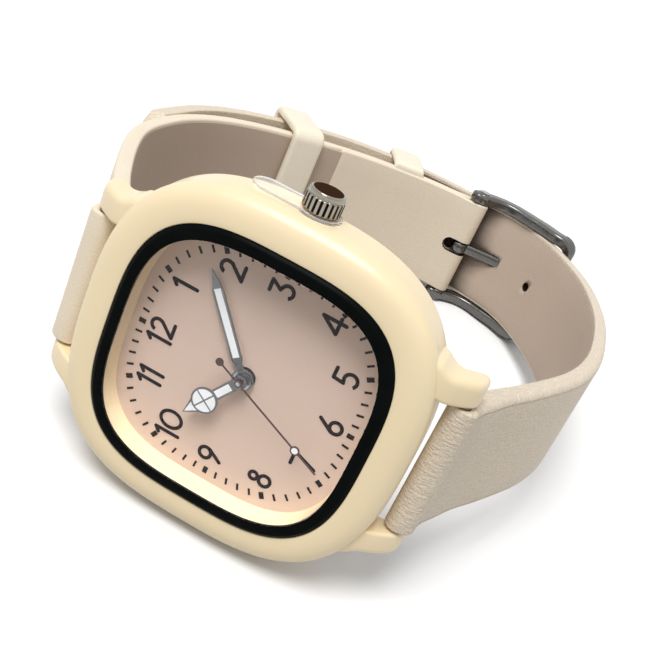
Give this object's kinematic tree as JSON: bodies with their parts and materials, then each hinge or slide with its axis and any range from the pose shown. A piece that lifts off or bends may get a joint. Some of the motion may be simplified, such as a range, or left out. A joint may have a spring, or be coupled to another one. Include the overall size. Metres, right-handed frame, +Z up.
{
  "type": "wristwatch",
  "caption": "Square cushion wristwatch with a moulded case, black-ringed glass, turning hands, pull-out crown and a buckled leather strap.",
  "frame": {"origin": "centre of the case back's outer face", "axes": "+Y from the dial side towards the buckle, leaning with the stand; +Z up, towards the crown; -X towards 12 o'clock"},
  "size_m": [0.0657, 0.0783, 0.0394],
  "materials": {
    "case": "satin",
    "black_ring": "gloss",
    "crystal": "polished",
    "clear_film": "clear",
    "dial": "matte",
    "print": "matte",
    "brass": "plain",
    "copper": "lacquered wire",
    "steel": "brushed",
    "chrome": "polished",
    "gasket": "matte",
    "holder": "matte",
    "board": "matte",
    "leather": "fine grain",
    "lining": "smooth",
    "hand_grey": "satin",
    "hand_brown": "satin",
    "lume": "matte"
  },
  "bodies": {
    "watch": {"mid_case": "case", "glass_ring": "black_ring", "crystal": "crystal", "dial": "dial", "dial_feet": "brass", "numerals": "print", "minute_track": "print", "case_back": "steel", "back_gasket": "gasket", "movement_holder": "holder", "main_plate": "steel", "circuit_board": "board", "train_bridge": "steel", "battery": "steel", "battery_clamp": "brass", "coil": "copper", "stator": "steel", "crown_tube": "steel", "crown_shim": "clear_film", "spring_bars": "steel", "strap_12_leather": "leather", "strap_12_lining": "lining", "strap_6_leather": "leather", "strap_6_lining": "lining", "fixed_keeper": "leather"},
    "setting_pinion": {"setting_pinion": "steel"},
    "crown": {"crown": "chrome", "stem": "steel", "crown_gasket": "gasket"},
    "minute_hand": {"minute_hand": "hand_grey", "minute_lume": "lume", "minute_pipe": "steel"},
    "hour_hand": {"hour_hand": "hand_grey", "hour_lume": "lume", "hour_pipe": "steel"},
    "seconds_hand": {"seconds_hand": "hand_brown", "seconds_lume": "lume", "seconds_arbor": "steel"},
    "free_keeper": {"free_keeper": "leather"},
    "buckle": {"buckle_frame": "chrome", "buckle_bar": "steel"},
    "tongue": {"buckle_tongue": "chrome"}
  },
  "joints": [
    {"name": "minute_turn", "type": "hinge", "parent": "watch", "child": "minute_hand", "pos_m": [0, -0.00436, 0.00059], "axis": [0, 0.991, -0.134], "continuous": true},
    {"name": "hour_turn", "type": "hinge", "parent": "watch", "child": "hour_hand", "pos_m": [0, -0.00436, 0.00059], "axis": [0, 0.991, -0.134], "continuous": true},
    {"name": "seconds_turn", "type": "hinge", "parent": "watch", "child": "seconds_hand", "pos_m": [0, -0.00436, 0.00059], "axis": [0, 0.991, -0.134], "continuous": true},
    {"name": "crown_turn", "type": "hinge", "parent": "watch", "child": "setting_pinion", "pos_m": [0, -0.00243, 0.00739], "axis": [0, 0.134, 0.991], "continuous": true},
    {"name": "crown_pull", "type": "slide", "parent": "setting_pinion", "child": "crown", "axis": [0, 0.134, 0.991], "range_m": [0, 0.0007]},
    {"name": "keeper_slide", "type": "slide", "parent": "watch", "child": "free_keeper", "axis": [0.7675, 0.6353, -0.0859], "range_m": [-0.001, 0.001]},
    {"name": "buckle_swing", "type": "hinge", "parent": "watch", "child": "buckle", "pos_m": [0.0083, 0.06223, -0.00841], "axis": [0, 0.134, 0.991], "range_deg": [-2, 0]},
    {"name": "tongue_lift", "type": "hinge", "parent": "buckle", "child": "tongue", "pos_m": [0.0083, 0.06223, -0.00841], "axis": [0, 0.134, 0.991], "range_deg": [0, 2]}
  ],
  "couplings": [
    {"joint": "minute_turn", "follows": "seconds_turn", "ratio": 0.016667},
    {"joint": "hour_turn", "follows": "seconds_turn", "ratio": 0.0013889}
  ]
}
